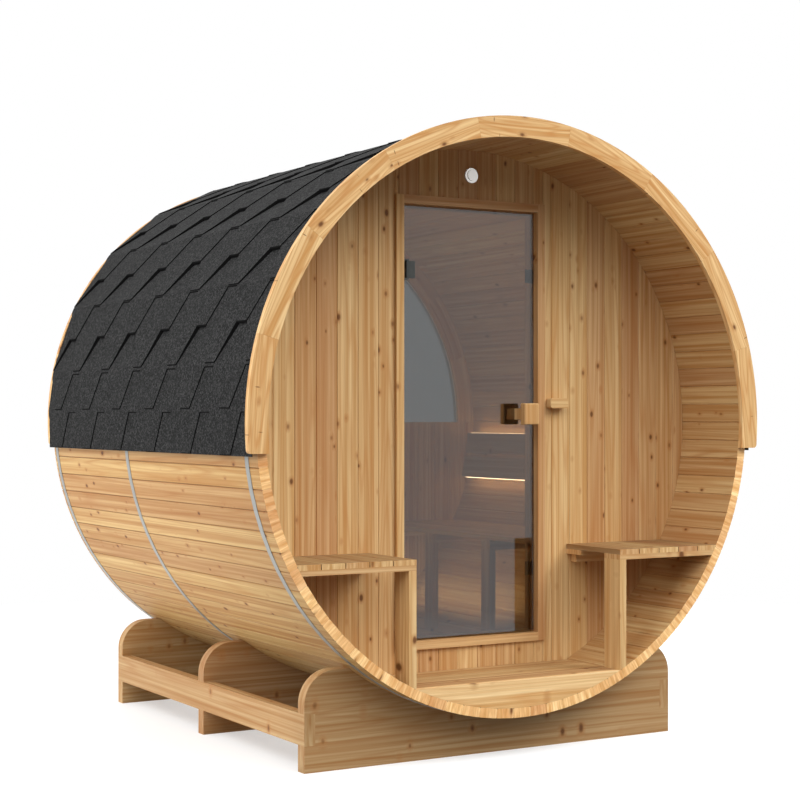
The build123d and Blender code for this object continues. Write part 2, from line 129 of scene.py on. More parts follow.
class NodeTree:
    """A tree of nodes, built by short calls."""

    def __init__(self, tree):
        self.tree = tree

    def add(self, kind, **settings):
        node = self.tree.nodes.new(kind)
        for key, value in settings.items():
            setattr(node, key, value)
        return node

    def put(self, value, socket):
        """Link an output to a socket, or set the socket to a plain value."""
        if isinstance(value, bpy.types.NodeSocket):
            self.tree.links.new(value, socket)
        else:
            socket.default_value = value

    def math(self, operation, first, second=0.0):
        node = self.add("ShaderNodeMath", operation=operation)
        self.put(first, node.inputs[0])
        self.put(second, node.inputs[1])
        return node.outputs[0]

    def vector(self, operation, first, second):
        node = self.add("ShaderNodeVectorMath", operation=operation)
        self.put(first, node.inputs[0])
        self.put(second, node.inputs[1])
        return node.outputs[0]

    def combine(self, x, y, z):
        node = self.add("ShaderNodeCombineXYZ")
        for value, socket in zip((x, y, z), node.inputs):
            self.put(value, socket)
        return node.outputs[0]

    def split(self, place):
        node = self.add("ShaderNodeSeparateXYZ")
        self.put(place, node.inputs[0])
        return node.outputs

    def noise(self, place, scale, detail=2.0, roughness=0.5):
        node = self.add("ShaderNodeTexNoise")
        self.put(place, node.inputs["Vector"])
        node.inputs["Scale"].default_value = scale
        node.inputs["Detail"].default_value = detail
        node.inputs["Roughness"].default_value = roughness
        return node.outputs["Fac"]

    def voronoi(self, place, scale):
        """Distance to the middle of a cell, and the cell's random number."""
        node = self.add("ShaderNodeTexVoronoi")
        self.put(place, node.inputs["Vector"])
        node.inputs["Scale"].default_value = scale
        chance = self.add("ShaderNodeSeparateColor")
        self.put(node.outputs["Color"], chance.inputs[0])
        return node.outputs["Distance"], chance.outputs[0]

    def ramp(self, value, *stops):
        node = self.add("ShaderNodeValToRGB")
        elements = node.color_ramp.elements
        while len(elements) < len(stops):
            elements.new(0.5)
        for element, (place, colour) in zip(elements, stops):
            element.position = place
            element.color = colour
        self.put(value, node.inputs[0])
        return node.outputs[0]

    def spread(self, value, low, high, new_low=0.0, new_high=1.0):
        node = self.add("ShaderNodeMapRange")
        for item, socket in zip((value, low, high, new_low, new_high), node.inputs):
            self.put(item, socket)
        return node.outputs[0]

    def mix(self, factor, first, second, blend="MIX"):
        node = self.add("ShaderNodeMix", data_type="RGBA", blend_type=blend)
        self.put(factor, node.inputs[0])
        self.put(first, node.inputs[6])
        self.put(second, node.inputs[7])
        return node.outputs[2]


class Shader(NodeTree):
    """A material's tree of nodes."""

    def __init__(self, name):
        self.material = bpy.data.materials.new(name)
        self.material.use_nodes = True
        super().__init__(self.material.node_tree)
        self.surface = self.tree.nodes["Principled BSDF"]

    def bump(self, height, strength, distance):
        node = self.add("ShaderNodeBump")
        node.inputs["Strength"].default_value = strength
        node.inputs["Distance"].default_value = distance
        self.put(height, node.inputs["Height"])
        self.put(node.outputs[0], self.surface.inputs["Normal"])

    def place(self):
        return self.add("ShaderNodeTexCoord").outputs["Object"]

    def board(self):
        """Random numbers of the board that a face belongs to."""
        number = self.add("ShaderNodeAttribute", attribute_name="board").outputs["Fac"]
        scatter = self.add("ShaderNodeTexWhiteNoise", noise_dimensions="1D")
        self.put(self.math("MULTIPLY", number, BOARD_SCATTER), scatter.inputs["W"])
        parts = self.add("ShaderNodeSeparateColor")
        self.put(scatter.outputs["Color"], parts.inputs[0])
        return parts.outputs


def ring_place(shader, place):
    """Place unrolled round the barrel: along the ring, along the barrel, out from the axis."""
    x, y, z = shader.split(place)
    height = shader.math("SUBTRACT", z, AXIS_Z)
    angle = shader.math("ARCTAN2", height, x)
    square = shader.math("ADD", shader.math("POWER", x, 2.0), shader.math("POWER", height, 2.0))
    return shader.combine(shader.math("MULTIPLY", angle, BARREL_R), y, shader.math("SQRT", square))


def arch_place(shader, place):
    """Place in a board of an arch: along the board, along the barrel, out from the axis."""
    x, y, z = shader.split(place)
    height = shader.math("SUBTRACT", z, AXIS_Z)
    angle = shader.math("ARCTAN2", height, x)
    turn = shader.math("MULTIPLY", shader.math("LESS_THAN", angle, -math.pi / 2), 2 * math.pi)
    angle = shader.math("ADD", shader.math("ADD", angle, turn), ARCH_END)
    number = shader.math("FLOOR", shader.math("DIVIDE", angle, ARCH_BOARD))
    start = shader.math("MULTIPLY", number, ARCH_BOARD)
    middle = shader.math("ADD", start, ARCH_BOARD / 2 - ARCH_END)
    sine = shader.math("SINE", middle)
    cosine = shader.math("COSINE", middle)
    upwards = shader.math("MULTIPLY", height, cosine)
    sideways = shader.math("MULTIPLY", x, sine)
    along = shader.math("SUBTRACT", upwards, sideways)
    out = shader.math("ADD", shader.math("MULTIPLY", x, cosine), shader.math("MULTIPLY", height, sine))
    return shader.combine(along, y, out)


# Which of the three coordinates runs along the grain, across the board and through it
GRAINS = {
    "X": (0, 1, 2), "Y": (1, 0, 2), "Z": (2, 0, 1),
    "RING": (0, 2, 1), "ARCH": (0, 2, 1), "STAVE": (1, 0, 2),
}
BENT_PLACES = {"RING": ring_place, "STAVE": ring_place, "ARCH": arch_place}

# How far faces point along the grain, or out from the barrel's axis
END_FACING = 0.7
# Stave faces pointing further in than this get painted shade
INSIDE_FACING = -0.5
OUTSIDE_FACING = 0.5

# Shifts of the pattern from board to board: along, across and through it
BOARD_SHIFTS = (23.0, 19.0, 29.0)

# Patterns of the grain: steps in a metre across and along it
FIGURE = (11.0, 0.42)
WAVY_FIGURE = (15.0, 1.1)
STREAKS = (62.0, 0.55)
FIBRES = (430.0, 8.0)
KNOT_EDGES = (60.0, 30.0)

# Shares of the patterns, where in them a tone starts and ends, and radians of year rings in the figure
END_DEPTH_SHARE = 0.12
YEAR_RINGS = 88.0
LATE_WOOD_POWER = 3.0
LATE_WOOD_SHARE = 0.4
WAVY_LATE_WOOD_SHARE = 0.55
STREAK_START, STREAK_END = 0.34, 0.66
FIBRE_START, FIBRE_END = 0.42, 0.76
FIBRE_SHARE = 0.22
EVEN_SHARE = 0.5
RING_RELIEF_SHARE = 0.35

# Knots: cells in a metre, and distances from the middle of a cell
KNOT_CELLS = 17.0
KNOT_ALONG_SHARE = 0.6
KNOT_THROUGH_SHARE = 0.4
KNOT_UNEVEN = 0.1
KNOT_RAGGED = 0.03
KNOT_PULL = 0.03
KNOT_PULL_END = 0.32
HALO_START, HALO_END = 0.12, 0.27
HALO_SHARE = 0.55
CORE_START, CORE_END = 0.085, 0.16
CORE_SHARE = 0.9

# Short dark ticks across the grain
TICK_CELLS = 19.0
TICK_ALONG = 4.5
TICK_CHANCE = 0.86
TICK_START, TICK_END = 0.08, 0.2
TICK_SHARE = 0.9

# Seams on the outside of the staves, in metres
STAVES = 90
STAVE_PITCH = 2 * math.pi * BARREL_R / STAVES
SEAM_START, SEAM_END = 0.0008, 0.003
SEAM_SHARE = 0.6

# Colours of the timber
TONES = (linear(234, 205, 152), linear(220, 185, 133), linear(203, 161, 117))
CRADLE_TONES = (linear(198, 170, 124), linear(190, 158, 114), linear(180, 144, 104))
TOE_TONES = (linear(251, 225, 174), linear(248, 216, 162), linear(243, 208, 154))
ARCH_TONES = (linear(240, 208, 154), linear(236, 199, 143), linear(230, 190, 135))
OUTSIDE_TINT = linear(243, 242, 228)
SEAM_BROWN = linear(122, 82, 44)
STREAK_TINT = linear(218, 192, 162)
LATE_WOOD_TINT = linear(212, 172, 130)
FIBRE_BROWN = linear(150, 108, 64)
HALO_BROWN = linear(170, 112, 58)
CORE_BROWN = linear(98, 56, 24)
TICK_BROWN = linear(112, 66, 30)


def outward_facing(shader, place, facing):
    """How far a face points out from the barrel's axis, times its distance from the axis."""
    x, _, z = shader.split(place)
    sideways = shader.math("MULTIPLY", facing[0], x)
    upwards = shader.math("MULTIPLY", facing[2], shader.math("SUBTRACT", z, AXIS_Z))
    return shader.math("ADD", sideways, upwards)


def knot_distance(shader, along, across, through, edge_place):
    """Distance to the middle of the nearest knot, ragged, and longer by chance where a knot is small."""
    deep = shader.math("MULTIPLY", through, KNOT_THROUGH_SHARE)
    place = shader.combine(shader.math("MULTIPLY", along, KNOT_ALONG_SHARE), across, deep)
    distance, chance = shader.voronoi(place, KNOT_CELLS)
    distance = shader.math("ADD", distance, shader.math("MULTIPLY", chance, KNOT_UNEVEN))
    ragged = shader.noise(edge_place, 1.0)
    return shader.math("ADD", distance, shader.spread(ragged, 0.0, 1.0, -KNOT_RAGGED, KNOT_RAGGED))


def tick_marks(shader, along, across):
    """Share of the short dark ticks across the grain."""
    place = shader.combine(shader.math("MULTIPLY", along, TICK_ALONG), across, 0.0)
    distance, chance = shader.voronoi(place, TICK_CELLS)
    shown = shader.math("GREATER_THAN", chance, TICK_CHANCE)
    return shader.math("MULTIPLY", shader.spread(distance, TICK_START, TICK_END, TICK_SHARE, 0.0), shown)


def timber(name, grain, tones, painted_shade_share=1.0, painted_end_light=1.0, figured=False):
    """Planed softwood with its grain along an axis, or along the boards of a ring, an arch or the staves.

    Painted shade darkens the long faces, or the inside of staves, to a share of the tone, and painted light
    may make end faces paler. Figured timber has a wavier grain with short dark ticks across it.
    """
    shader = Shader(name)
    place = shader.place()
    axes = GRAINS[grain]
    facing = shader.split(shader.add("ShaderNodeTexCoord").outputs["Normal"])
    end_face = shader.math("GREATER_THAN", shader.math("ABSOLUTE", facing[axes[0]]), END_FACING)
    end_share = 1.0
    unshaded_face = end_face
    if grain == "STAVE":
        outward = outward_facing(shader, place, facing)
        unshaded_face = shader.math("GREATER_THAN", outward, INSIDE_FACING)
        outer_face = shader.math("GREATER_THAN", outward, OUTSIDE_FACING)
    if grain not in ("RING", "ARCH"):
        end_share = shader.spread(end_face, 0.0, 1.0, 1.0, END_DEPTH_SHARE)
    if grain in BENT_PLACES:
        place = BENT_PLACES[grain](shader, place)
    parts = shader.split(place)
    first, second, third = shader.board()
    along, across, through = (
        shader.math("ADD", parts[axis], shader.math("MULTIPLY", chance, shift))
        for axis, chance, shift in zip(axes, (first, second, third), BOARD_SHIFTS)
    )

    def stretched(scales):
        """Place in which a pattern is drawn out along the grain, or through the board on its end face."""
        across_scale, along_scale = scales
        deep = shader.math("MULTIPLY", shader.math("MULTIPLY", through, across_scale), end_share)
        wide = shader.math("MULTIPLY", across, across_scale)
        return shader.combine(shader.math("MULTIPLY", along, along_scale), wide, deep)

    knots = knot_distance(shader, along, across, through, stretched(KNOT_EDGES))
    figure = shader.noise(stretched(WAVY_FIGURE if figured else FIGURE), 1.0, detail=1.5, roughness=0.45)
    figure = shader.math("ADD", figure, shader.spread(knots, 0.0, KNOT_PULL_END, KNOT_PULL, 0.0))
    rings = shader.spread(shader.math("SINE", shader.math("MULTIPLY", figure, YEAR_RINGS)), -1.0, 1.0)
    streak = shader.noise(stretched(STREAKS), 1.0, detail=3.0, roughness=0.6)
    fibre = shader.noise(stretched(FIBRES), 1.0, detail=2.0, roughness=0.6)
    light, warm, red = tones
    board = shader.ramp(first, (0.0, light), (0.5, warm), (1.0, red))
    board = shader.mix(shader.math("MULTIPLY", second, EVEN_SHARE), board, warm)
    deep = shader.mix(1.0, board, STREAK_TINT, "MULTIPLY")
    colour = shader.mix(shader.spread(streak, STREAK_START, STREAK_END), board, deep)
    late_share = WAVY_LATE_WOOD_SHARE if figured else LATE_WOOD_SHARE
    late_wood = shader.math("MULTIPLY", shader.math("POWER", rings, LATE_WOOD_POWER), late_share)
    colour = shader.mix(late_wood, colour, shader.mix(1.0, board, LATE_WOOD_TINT, "MULTIPLY"))
    # Painted shade: long faces, or inside faces of staves, darkened to a share of the tone; painted light:
    # end faces brightened by a gain
    if painted_shade_share < 1.0:
        kept = shader.spread(unshaded_face, 0.0, 1.0, painted_shade_share, 1.0)
        kept = shader.math("MULTIPLY", kept, shader.spread(end_face, 0.0, 1.0, 1.0, painted_end_light))
        colour = shader.mix(1.0, colour, shader.combine(kept, kept, kept), "MULTIPLY")
    if grain == "STAVE":
        colour = shader.mix(outer_face, colour, OUTSIDE_TINT, "MULTIPLY")
        seam = shader.math("PINGPONG", parts[axes[1]], STAVE_PITCH / 2)
        seam_share = shader.spread(seam, SEAM_START, SEAM_END, SEAM_SHARE, 0.0)
        colour = shader.mix(shader.math("MULTIPLY", seam_share, outer_face), colour, SEAM_BROWN)
    colour = shader.mix(shader.spread(fibre, FIBRE_START, FIBRE_END, 0.0, FIBRE_SHARE), colour, FIBRE_BROWN)
    colour = shader.mix(shader.spread(knots, HALO_START, HALO_END, HALO_SHARE, 0.0), colour, HALO_BROWN)
    colour = shader.mix(shader.spread(knots, CORE_START, CORE_END, CORE_SHARE, 0.0), colour, CORE_BROWN)
    if figured:
        colour = shader.mix(tick_marks(shader, along, across), colour, TICK_BROWN)
    shader.put(colour, shader.surface.inputs["Base Color"])
    shader.surface.inputs["Roughness"].default_value = 0.58
    shader.surface.inputs["Specular IOR Level"].default_value = 0.3
    relief = shader.math("ADD", shader.math("MULTIPLY", rings, RING_RELIEF_SHARE), fibre)
    shader.bump(relief, strength=0.2, distance=0.0007)
    return shader.material


wood_arch = timber("arch_timber", "ARCH", ARCH_TONES, figured=True)
wood_ring = timber("rim_timber", "RING", TONES)
# Staves: painted shade darkens their inside faces, painted light brightens their end faces
wood_stave = timber("stave_timber", "STAVE", TONES, painted_shade_share=0.84, painted_end_light=1.5)
wood_y = timber("lengthwise_timber", "Y", TONES)
wood_z = timber("upright_timber", "Z", TONES)
wood_x = timber("crosswise_timber", "X", TONES)
wood_toe = timber("toe_board_timber", "X", TOE_TONES)
# Painted shade darkens the long faces of bench slats, backrests and porch planks; their end faces keep the
# tone
wood_seat = timber("seat_timber", "Y", TONES, painted_shade_share=0.55)
wood_porch = timber("porch_timber", "X", TONES, painted_shade_share=0.84)
wood_cradle = timber("cradle_timber", "X", CRADLE_TONES)
wood_rail = timber("rail_timber", "Y", CRADLE_TONES)

# Layers of granules: pattern, where in it the layer's share starts and ends, both shares, and the grey
GRANULE_LAYERS = (
    ("speck", 0.62, 1.0, 0.0, 0.9, 72),
    ("speck", 0.0, 0.4, 0.9, 0.0, 12),
    ("coarse", 0.5, 0.72, 0.0, 0.8, 54),
    ("fine", 0.52, 0.78, 0.0, 0.6, 70),
    ("coarse", 0.28, 0.46, 0.8, 0.0, 14),
    ("patch", 0.42, 0.7, 0.0, 0.2, 42),
)

# Greys of the sheets and of their cut edges, the edges darker than bitumen as painted shade in the notches,
# where the edges' grain starts and ends, and specks in a metre
SHEET_GREYS = (25, 29)
EDGE_AND_SHADE_GREYS = (3, 9)
EDGE_START, EDGE_END = 0.3, 0.75
SPECK_CELLS = 210.0

# Mottling of metal and plastic: where it starts and ends, and the share of the colour where it is darkest
MOTTLE_START, MOTTLE_END = 0.3, 0.7
METAL_SHARE = 0.78
PLASTIC_SHARE = 0.9
BRUSHING = (40.0, 900.0, 40.0)
DULL_START, DULL_END = 0.2, 0.8
DULL_LOW_SHARE, DULL_HIGH_SHARE = 0.8, 1.2


def grey(level):
    """Grey of a display level, 0 to 255."""
    return linear(level, level, level)


def shade(colour, share):
    """Share of a colour."""
    return tuple(share * value for value in colour[:3]) + (1.0,)


def bitumen():
    """Charcoal mineral granules on shingles."""
    shader = Shader("shingle_granules")
    place = shader.place()
    patterns = {
        "coarse": shader.noise(place, scale=120.0, detail=3.0, roughness=0.75),
        "fine": shader.noise(place, scale=520.0, detail=2.0, roughness=0.7),
        "patch": shader.noise(place, scale=6.0, detail=3.0, roughness=0.6),
        "speck": shader.voronoi(place, SPECK_CELLS)[1],
    }
    low_grey, high_grey = SHEET_GREYS
    colour = shader.ramp(shader.board()[0], (0.0, grey(low_grey)), (1.0, grey(high_grey)))
    for pattern, start, end, start_share, end_share, level in GRANULE_LAYERS:
        share = shader.spread(patterns[pattern], start, end, start_share, end_share)
        colour = shader.mix(share, colour, grey(level))
    shader.put(colour, shader.surface.inputs["Base Color"])
    shader.surface.inputs["Roughness"].default_value = 0.92
    shader.surface.inputs["Specular IOR Level"].default_value = 0.15
    relief = shader.math("ADD", patterns["coarse"], patterns["fine"])
    shader.bump(relief, strength=0.7, distance=0.0012)
    return shader.material


def bitumen_edge_and_shade():
    """Black bitumen on the cut edges and undersides of shingles, darkened further as painted shade in the
    notches between tabs.
    """
    shader = Shader("shingle_edge")
    grain = shader.noise(shader.place(), scale=420.0, detail=2.0, roughness=0.6)
    low_grey, high_grey = EDGE_AND_SHADE_GREYS
    colour = shader.ramp(grain, (EDGE_START, grey(low_grey)), (EDGE_END, grey(high_grey)))
    shader.put(colour, shader.surface.inputs["Base Color"])
    shader.surface.inputs["Roughness"].default_value = 0.9
    shader.surface.inputs["Specular IOR Level"].default_value = 0.1
    return shader.material


def metal(name, colour, metallic, roughness):
    """Metal with a faint brushed mottling."""
    shader = Shader(name)
    mottle = shader.noise(shader.vector("MULTIPLY", shader.place(), BRUSHING), 1.0)
    brushed = shader.ramp(mottle, (MOTTLE_START, shade(colour, METAL_SHARE)), (MOTTLE_END, colour))
    shader.put(brushed, shader.surface.inputs["Base Color"])
    shader.surface.inputs["Metallic"].default_value = metallic
    dullness = shader.spread(
        mottle, DULL_START, DULL_END, roughness * DULL_LOW_SHARE, roughness * DULL_HIGH_SHARE,
    )
    shader.put(dullness, shader.surface.inputs["Roughness"])
    return shader.material


def glass(name, colour):
    """Tinted pane."""
    shader = Shader(name)
    shader.surface.inputs["Base Color"].default_value = colour
    shader.surface.inputs["Transmission Weight"].default_value = 1.0
    shader.surface.inputs["Roughness"].default_value = 0.0
    shader.surface.inputs["IOR"].default_value = 1.7
    return shader.material


def plastic(name, colour):
    """Moulded plastic with a faint satin texture."""
    shader = Shader(name)
    texture = shader.noise(shader.place(), scale=800.0)
    satin = shader.ramp(texture, (MOTTLE_START, shade(colour, PLASTIC_SHARE)), (MOTTLE_END, colour))
    shader.put(satin, shader.surface.inputs["Base Color"])
    shader.surface.inputs["Roughness"].default_value = 0.4
    shader.bump(texture, strength=0.1, distance=0.0005)
    return shader.material


# Light strips
LIGHT_STRENGTH = 10.0
UPPER_LIP = 0.0055
LOWER_LIP = 0.0035
LIGHT_EDGE = 0.006
LIGHT_MIDDLE = (LIGHT_LOW[2] + LIGHT_HIGH[2]) / 2
TURNED_IN = -0.7
DIFFUSER_WHITE = linear(255, 236, 200)
DIFFUSER_GLOW = linear(255, 220, 172)


def lamp_strip():
    """Warm light diffuser, dark on the faces that the upper and the lower strip turn to each other."""
    shader = Shader("light_diffuser")
    shader.surface.inputs["Base Color"].default_value = DIFFUSER_WHITE
    shader.surface.inputs["Emission Color"].default_value = DIFFUSER_GLOW
    upward = shader.split(shader.add("ShaderNodeTexCoord").outputs["Normal"])[2]
    upper = shader.math("GREATER_THAN", shader.split(shader.place())[2], LIGHT_MIDDLE)
    outward = shader.math("MULTIPLY", upward, shader.spread(upper, 0.0, 1.0, -1.0, 1.0))
    lit = shader.math("GREATER_THAN", outward, TURNED_IN)
    shader.put(shader.math("MULTIPLY", lit, LIGHT_STRENGTH), shader.surface.inputs["Emission Strength"])
    return shader.material


granules = bitumen()
# Cut edges nearly black: partly the bitumen's own colour, partly painted shade in the notches
black_edge_and_shade = bitumen_edge_and_shade()
steel = metal("hoop_steel", linear(168, 169, 166), metallic=0.6, roughness=0.4)
dark_metal = metal("hinge_metal", linear(74, 76, 74), metallic=0.6, roughness=0.38)
catch_black = metal("catch_metal", linear(16, 16, 15), metallic=0.0, roughness=0.55)
door_pane = glass("door_pane", (0.30, 0.30, 0.30, 1.0))
window_pane = glass("window_pane", (0.26, 0.29, 0.30, 1.0))
vent_white = plastic("vent_plastic", linear(226, 226, 224))
diffuser = lamp_strip()


def geometry_nodes(name):
    """Tree of geometry nodes with one geometry in and one out."""
    group = bpy.data.node_groups.new(name, "GeometryNodeTree")
    for way in ("INPUT", "OUTPUT"):
        group.interface.new_socket("Geometry", in_out=way, socket_type="NodeSocketGeometry")
    return NodeTree(group)


def board_numbers():
    """Geometry nodes that weld each solid of a node and give its faces one random number."""
    steps = geometry_nodes("board_numbers")
    seed = steps.tree.interface.new_socket("Seed", in_out="INPUT", socket_type="NodeSocketInt")
    start = steps.add("NodeGroupInput")
    plain = steps.add("GeometryNodeRemoveAttribute")
    plain.inputs["Name"].default_value = "custom_normal"
    weld = steps.add("GeometryNodeMergeByDistance")
    weld.inputs["Distance"].default_value = WELD
    flat = steps.add("GeometryNodeSetShadeSmooth")
    flat.inputs["Shade Smooth"].default_value = False
    store = steps.add("GeometryNodeStoreNamedAttribute", domain="FACE")
    store.inputs["Name"].default_value = "board"
    end = steps.add("NodeGroupOutput")
    chain = (start, plain, weld, flat, store, end)
    for before, after in zip(chain, chain[1:]):
        steps.put(before.outputs["Geometry"], after.inputs["Geometry"])
    island = steps.add("GeometryNodeInputMeshIsland")
    number = steps.add("FunctionNodeRandomValue")
    steps.put(island.outputs["Island Index"], number.inputs["ID"])
    steps.put(start.outputs["Seed"], number.inputs["Seed"])
    steps.put(number.outputs[1], store.inputs["Value"])
    return steps.tree, seed.identifier


numbers_group, seed_socket = board_numbers()


def dress(material, *names):
    """Give CAD nodes one material."""
    for name in names:
        mesh = nodes[name].data
        mesh.materials.clear()
        mesh.materials.append(material)


def dress_timber(material, *names):
    """Give CAD nodes of separate boards a timber."""
    dress(material, *names)
    for name in names:
        numbering = nodes[name].modifiers.new("board_numbers", "NODES")
        numbering.node_group = numbers_group
        numbering[seed_socket] = sorted(nodes).index(name)


dress_timber(wood_stave, "roof_staves", "left_staves", "bottom_staves", "right_staves")
dress_timber(wood_toe, "porch_toe_board")
dress_timber(wood_arch, "front_arch", "rear_arch")
dress_timber(wood_ring, "rear_window_rim")
dress_timber(wood_x, "door_frame_head", "door_frame_sill", "wall_peg", "porch_bench_battens")
dress_timber(wood_x, "porch_bench_ledgers", "cabin_bench_bearers")
dress_timber(wood_cradle, "cradle_front", "cradle_middle", "cradle_rear")
dress_timber(wood_rail, "cradle_rails")
dress_timber(wood_z, "door_frame_left", "door_frame_right", "door_handle_outside", "door_handle_inside")
dress_timber(wood_z, "porch_bench_legs", "cabin_bench_posts", "backrest_brackets")
dress_timber(wood_seat, "porch_bench_slats", "cabin_backrests")
dress_timber(wood_y, "cabin_bench_slats")
dress(steel, "front_hoop", "middle_hoop", "rear_hoop")
dress(dark_metal, "hinge_leaves", "hinge_brackets")
dress(catch_black, "catch_plates")
dress(door_pane, "door_glass")
dress(window_pane, "rear_window_glass")
dress(vent_white, "vent_cap")
dress(diffuser, "backrest_lights")


def light_lips():
    """Let the light strips reach a little past the edges of the backrests."""
    steps = geometry_nodes("light_lips")
    start = steps.add("NodeGroupInput")
    height = steps.split(steps.add("GeometryNodeInputPosition").outputs[0])[2]
    above = steps.math("GREATER_THAN", height, LIGHT_HIGH[2] - LIGHT_EDGE)
    below = steps.math("LESS_THAN", height, LIGHT_LOW[2] + LIGHT_EDGE)
    raised = steps.math("MULTIPLY", above, UPPER_LIP)
    lowered = steps.math("MULTIPLY", below, LOWER_LIP)
    move = steps.add("GeometryNodeSetPosition")
    end = steps.add("NodeGroupOutput")
    steps.put(start.outputs["Geometry"], move.inputs["Geometry"])
    steps.put(steps.combine(0.0, 0.0, steps.math("SUBTRACT", raised, lowered)), move.inputs["Offset"])
    steps.put(move.outputs["Geometry"], end.inputs["Geometry"])
    nodes["backrest_lights"].modifiers.new("light_lips", "NODES").node_group = steps.tree


light_lips()

# Finishes of a made piece, and the two halves of a bent face by the corners of its ring
FACE_FINISH, EDGE_FINISH = 0, 1
BENT_HALVES = ((0, 1, 4, 5), (1, 2, 3, 4))


class Pieces:
    """Collects the boards or sheets of one mesh object."""

    def __init__(self, seed):
        self.points = []
        self.faces = []
        self.finishes = []
        self.boards = []
        self.draw = random.Random(seed)

    def prism(self, low_ring, high_ring, side_finish=FACE_FINISH):
        """Closed prism between two rings of points, with its own finish on all but the high ring."""
        start = len(self.points)
        count = len(low_ring)
        self.points += low_ring + high_ring
        quads = [list(range(start + count - 1, start - 1, -1))]
        for index in range(count):
            after = (index + 1) % count
            quads.append([start + index, start + after, start + count + after, start + count + index])
        quads.append(list(range(start + count, start + 2 * count)))
        self.faces += quads
        self.finishes += [side_finish] * (count + 1) + [FACE_FINISH]
        self.boards += [self.draw.random()] * len(quads)

    def bent_cap(self, low_ring, high_ring):
        """Closed cap between two rings of six points, both bent from point 1 to point 4."""
        start = len(self.points)
        count = len(low_ring)
        self.points += low_ring + high_ring
        quads = []
        for index in range(count):
            after = (index + 1) % count
            quads.append([start + index, start + after, start + count + after, start + count + index])
        for ring_start in (start, start + count):
            quads += [[ring_start + corner for corner in corners] for corners in BENT_HALVES]
        self.faces += quads
        halves = len(BENT_HALVES)
        self.finishes += [EDGE_FINISH] * (count + halves) + [FACE_FINISH] * halves
        self.boards += [self.draw.random()] * len(quads)

    def build(self, name, materials, slot, *replaced):
        """Make the object, riding on the sauna in place of CAD nodes."""
        mesh = bpy.data.meshes.new(name)
        mesh.from_pydata(self.points, [], self.faces)
        for material in materials:
            mesh.materials.append(material)
        mesh.polygons.foreach_set("material_index", self.finishes)
        board = mesh.attributes.new("board", "FLOAT", "FACE")
        board.data.foreach_set("value", self.boards)
        shape = bmesh.new()
        shape.from_mesh(mesh)
        bmesh.ops.recalc_face_normals(shape, faces=shape.faces)
        shape.to_mesh(mesh)
        shape.free()
        piece = bpy.data.objects.new(name, mesh)
        bpy.context.scene.collection.objects.link(piece)
        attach(piece, "sauna")
        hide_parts(*replaced)
        return piece


def circle_height(across):
    """Height over the axis of the barrel's inside at a place across it."""
    return math.sqrt(max(LINER_R**2 - across**2, 0.0))


def wall_board(pieces, left, right, front, back, low=None, high=None):
    """Upright board with chamfered edges, cut to the barrel where no height is given."""
    start = math.asin((left + BOARD_CHAMFER) / LINER_R)
    end = math.asin((right - BOARD_CHAMFER) / LINER_R)
    turns = [start + (end - start) * step / BOARD_STEPS for step in range(BOARD_STEPS + 1)]
    across = [left] + [LINER_R * math.sin(turn) for turn in turns] + [right]
    inset = [BOARD_CHAMFER] + [0.0] * (BOARD_STEPS + 1) + [BOARD_CHAMFER]
    outline = [(x, front + chamfer) for x, chamfer in zip(across, inset)]
    outline += [(x, back - chamfer) for x, chamfer in reversed(list(zip(across, inset)))]
    low_ring = []
    high_ring = []
    for x, y in outline:
        bottom = AXIS_Z - circle_height(x) if low is None else low
        top = AXIS_Z + circle_height(x) if high is None else high
        low_ring.append((x, y, bottom))
        high_ring.append((x, y, top))
    pieces.prism(low_ring, high_ring)


def board_edges(low, high):
    """Left and right edges of the wall boards between two limits."""
    first = math.ceil((low - WALL_BOARD_START) / WALL_BOARD)
    last = math.floor((high - WALL_BOARD_START) / WALL_BOARD)
    joints = [WALL_BOARD_START + index * WALL_BOARD for index in range(first, last + 1)]
    inner = [joint for joint in joints if min(joint - low, high - joint) > NARROWEST_BOARD]
    marks = [low] + inner + [high]
    return [(a + BOARD_GAP / 2, b - BOARD_GAP / 2) for a, b in zip(marks, marks[1:])]


def wall(name, node, low=None, high=None):
    """Boards in place of one panel of a wall."""
    corner_low, corner_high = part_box(node)
    pieces = Pieces(name)
    for left, right in board_edges(corner_low[0], corner_high[0]):
        wall_board(pieces, left, right, corner_low[1], corner_high[1], low, high)
    pieces.build(name, [wood_z], "wall_wood", node)


wall("front_wall_left_boards", "front_wall_left")
wall("front_wall_right_boards", "front_wall_right")
wall("front_wall_head_boards", "front_wall_head", low=HEAD_LOW[2])
wall("front_wall_sill_boards", "front_wall_sill", high=SILL_HIGH[2])
wall("rear_wall_boards", "rear_wall", high=REAR_HIGH[2])


def planks(name, node, material):
    """Floor planks across the barrel in place of a floor slab."""
    low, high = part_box(node)
    count = round((high[1] - low[1]) / PLANK)
    pitch = (high[1] - low[1]) / count
    pieces = Pieces(name)
    for index in range(count):
        front = low[1] + index * pitch + BOARD_GAP
        back = low[1] + (index + 1) * pitch - BOARD_GAP
        outline = [
            (front, low[2]), (back, low[2]),
            (back, high[2] - BOARD_CHAMFER), (back - BOARD_CHAMFER, high[2]),
            (front + BOARD_CHAMFER, high[2]), (front, high[2] - BOARD_CHAMFER),
        ]
        left = [(-circle_height(z - AXIS_Z), y, z) for y, z in outline]
        right = [(circle_height(z - AXIS_Z), y, z) for y, z in outline]
        pieces.prism(left, right)
    pieces.build(name, [material], "floor_wood", node)


planks("porch_planks", "porch_floor", wood_porch)
planks("cabin_planks", "cabin_floor", wood_x)


